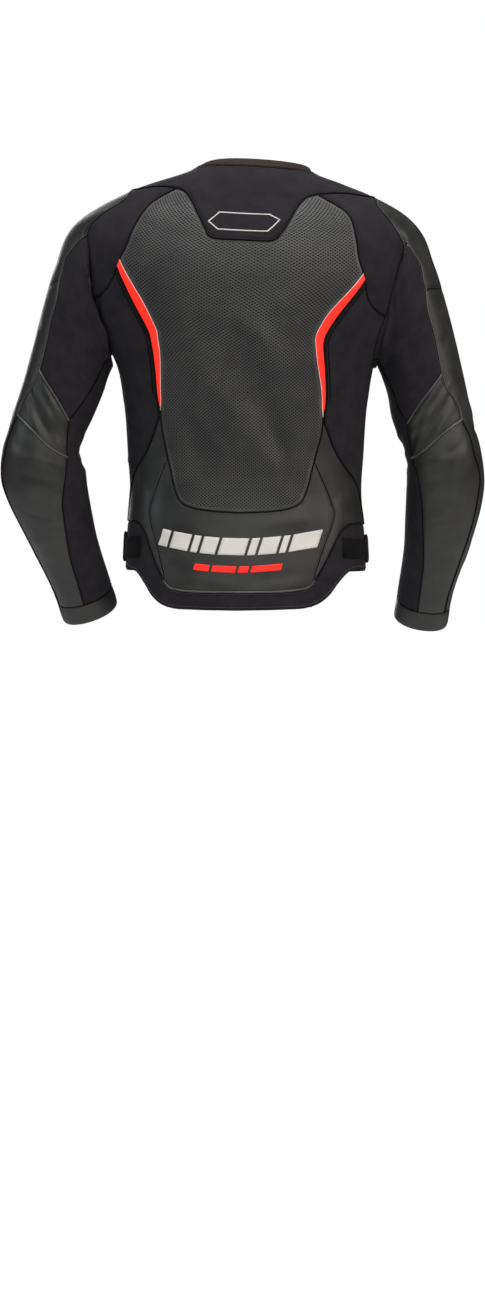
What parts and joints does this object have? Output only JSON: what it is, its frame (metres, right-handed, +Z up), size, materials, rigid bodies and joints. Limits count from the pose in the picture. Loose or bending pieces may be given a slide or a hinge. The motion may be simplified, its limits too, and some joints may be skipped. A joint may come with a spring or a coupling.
{
  "type": "motorcycle jacket",
  "caption": "Leather motorcycle jacket with stretch textile panels and red back inserts, zipped to a soft collar band, hollow as worn, with bent hanging sleeves and straps at the hem.",
  "frame": {"origin": "centre of the neck opening, at the height where the collar band is sewn to the neck", "axes": "+Z up; the wearer faces -Y; +X is the wearer's left; the zip runs down the front near X = 0"},
  "size_m": [0.6943, 0.271, 0.6743],
  "materials": {
    "leather": "soft semi-matt near-black cowhide with a fine grain",
    "red_leather": "smooth semi-matt bright red leather",
    "textile": "matt black stretch textile",
    "neoprene": "soft matt dark brown-black collar band",
    "hook_tape": "dull black hook-and-loop tape",
    "zip_tape": "woven black zip tape",
    "zip_metal": "dark satin metal"
  },
  "bodies": {
    "jacket": {"back_insert_left": "red_leather", "back_insert_right": "red_leather", "back_panel": "leather", "collar": "neoprene", "cuff_left": "leather", "cuff_right": "leather", "elbow_left": "leather", "elbow_right": "leather", "forearm_left": "leather", "forearm_right": "leather", "front_left": "leather", "front_right": "leather", "front_sleeve_left": "leather", "front_sleeve_right": "leather", "hem_band": "textile", "hook_patch_left": "hook_tape", "hook_patch_right": "hook_tape", "lower_back": "leather", "lower_side_left": "leather", "lower_side_right": "leather", "shoulder_back_left": "textile", "shoulder_back_right": "textile", "shoulder_cap_left": "leather", "shoulder_cap_right": "leather", "side_left": "textile", "side_right": "textile", "sleeve_strip_left": "leather", "sleeve_strip_right": "leather", "triceps_left": "textile", "triceps_right": "textile", "undersleeve_left": "textile", "undersleeve_right": "textile", "waist_strap_left": "textile", "waist_strap_right": "textile", "yoke": "textile", "zip_slider": "zip_metal", "zip_tape_left": "zip_tape", "zip_tape_right": "zip_tape"},
    "pull_tab": {"zip_pull_tab": "zip_metal"}
  },
  "joints": [
    {"name": "pull_tab_hinge", "type": "hinge", "parent": "jacket", "child": "pull_tab", "pos_m": [-0.001, -0.07979, -0.03558], "axis": [-1, 0, 0], "range_deg": [0, 125]}
  ]
}
